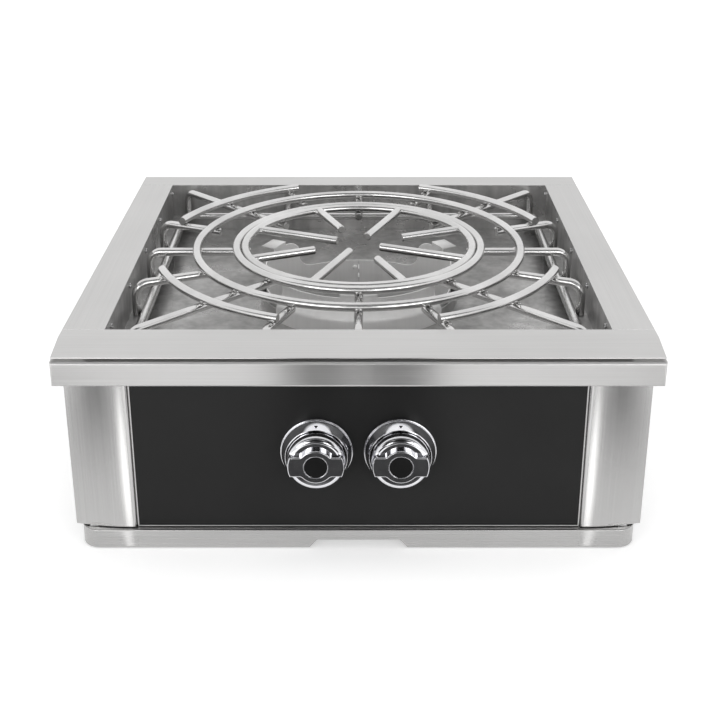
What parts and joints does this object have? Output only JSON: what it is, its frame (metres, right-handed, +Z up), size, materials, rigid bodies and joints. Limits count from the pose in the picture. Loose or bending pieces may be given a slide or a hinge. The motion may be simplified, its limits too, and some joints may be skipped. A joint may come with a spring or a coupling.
{
  "type": "power burner",
  "caption": "Drop-in outdoor-kitchen gas burner: stainless deck, round rod grate with a lift-out wok ring, wind shield, black fascia with chrome knobs and a drip tray.",
  "frame": {"origin": "under the burner's axis, on the plane that the bottom pan stands on", "axes": "+X to the right and -Y to the front as the cook faces the knobs, +Z up"},
  "size_m": [0.612, 0.6185, 0.2368],
  "materials": {
    "satin_steel": "satin brushed stainless sheet",
    "liner_steel": "dull mottled stainless sheet",
    "rod_steel": "polished stainless rod",
    "shield_steel": "polished stainless sheet",
    "casing_steel": "plain mill finish sheet",
    "pipe_steel": "plain steel tube",
    "fixing_steel": "bright stainless",
    "valve_brass": "machined brass",
    "burner_iron": "rough cast iron",
    "knob_chrome": "satin chrome",
    "knob_black": "black satin plastic",
    "fascia_black": "black satin enamel"
  },
  "bodies": {
    "casing": {"bottom_pan": "casing_steel", "burner_floor": "liner_steel", "burner_support_bar": "casing_steel", "control_fascia": "fascia_black", "floor_side_wings": "liner_steel", "front_bar": "satin_steel", "front_liner_wall": "liner_steel", "front_panel": "satin_steel", "gas_inlet_fitting": "valve_brass", "gas_manifold": "pipe_steel", "gas_supply_pipe": "pipe_steel", "inner_burner": "burner_iron", "left_casing_side": "casing_steel", "left_column": "satin_steel", "left_knob_bezel": "knob_chrome", "left_liner_wall": "liner_steel", "left_mixing_tube": "pipe_steel", "left_orifice": "valve_brass", "left_shield_half": "shield_steel", "left_tray_runner": "casing_steel", "left_valve_body": "valve_brass", "liner_screws": "fixing_steel", "manifold_brackets": "casing_steel", "manifold_end_cap": "valve_brass", "outer_ring_burner": "burner_iron", "rear_casing_panel": "casing_steel", "rear_liner_wall": "liner_steel", "right_casing_side": "casing_steel", "right_column": "satin_steel", "right_knob_bezel": "knob_chrome", "right_liner_wall": "liner_steel", "right_mixing_tube": "pipe_steel", "right_orifice": "valve_brass", "right_shield_half": "shield_steel", "right_tray_runner": "casing_steel", "right_valve_body": "valve_brass", "shield_rivets": "fixing_steel", "top_deck": "satin_steel"},
    "left_plug_body": {"left_valve_plug": "valve_brass"},
    "right_plug_body": {"right_valve_plug": "valve_brass"},
    "left_knob_body": {"left_valve_stem": "fixing_steel", "left_knob": "knob_chrome", "left_knob_insert": "knob_black", "left_stem_spring": "fixing_steel"},
    "right_knob_body": {"right_valve_stem": "fixing_steel", "right_knob": "knob_chrome", "right_knob_insert": "knob_black", "right_stem_spring": "fixing_steel"},
    "left_shutter_body": {"left_air_shutter": "pipe_steel"},
    "right_shutter_body": {"right_air_shutter": "pipe_steel"},
    "drip_tray_body": {"drip_tray": "casing_steel", "tray_front": "satin_steel"},
    "grate_body": {"grate_frame": "rod_steel", "grate_bars": "rod_steel", "grate_middle_ring": "rod_steel", "grate_inner_ring": "rod_steel", "grate_outer_arcs": "rod_steel"},
    "wok_ring_body": {"wok_ring": "rod_steel", "wok_ring_prongs": "rod_steel"}
  },
  "joints": [
    {"name": "left_knob_turn", "type": "hinge", "parent": "casing", "child": "left_plug_body", "pos_m": [-0.0427, -0.285, 0.116], "axis": [0, -1, 0], "range_deg": [0, 180]},
    {"name": "left_knob_push", "type": "slide", "parent": "left_plug_body", "child": "left_knob_body", "axis": [0, 1, 0], "range_m": [0, 0.003], "stiffness_N_per_m": 800, "springref_m": -0.002, "deforming": ["left_stem_spring"]},
    {"name": "left_shutter_turn", "type": "hinge", "parent": "casing", "child": "left_shutter_body", "pos_m": [-0.0427, -0.217, 0.116], "axis": [0, 1, 0], "range_deg": [0, 60]},
    {"name": "right_knob_turn", "type": "hinge", "parent": "casing", "child": "right_plug_body", "pos_m": [0.0427, -0.285, 0.116], "axis": [0, -1, 0], "range_deg": [0, 180]},
    {"name": "right_knob_push", "type": "slide", "parent": "right_plug_body", "child": "right_knob_body", "axis": [0, 1, 0], "range_m": [0, 0.003], "stiffness_N_per_m": 800, "springref_m": -0.002, "deforming": ["right_stem_spring"]},
    {"name": "right_shutter_turn", "type": "hinge", "parent": "casing", "child": "right_shutter_body", "pos_m": [0.0427, -0.217, 0.116], "axis": [0, 1, 0], "range_deg": [0, 60]},
    {"name": "drip_tray_slide", "type": "slide", "parent": "casing", "child": "drip_tray_body", "axis": [0, -1, 0], "range_m": [0, 0.38]},
    {"name": "grate_lift", "type": "slide", "parent": "casing", "child": "grate_body", "axis": [0, 0, 1], "range_m": [0, 0.06]},
    {"name": "wok_ring_lift", "type": "slide", "parent": "grate_body", "child": "wok_ring_body", "axis": [0, 0, 1], "range_m": [0, 0.04]}
  ]
}
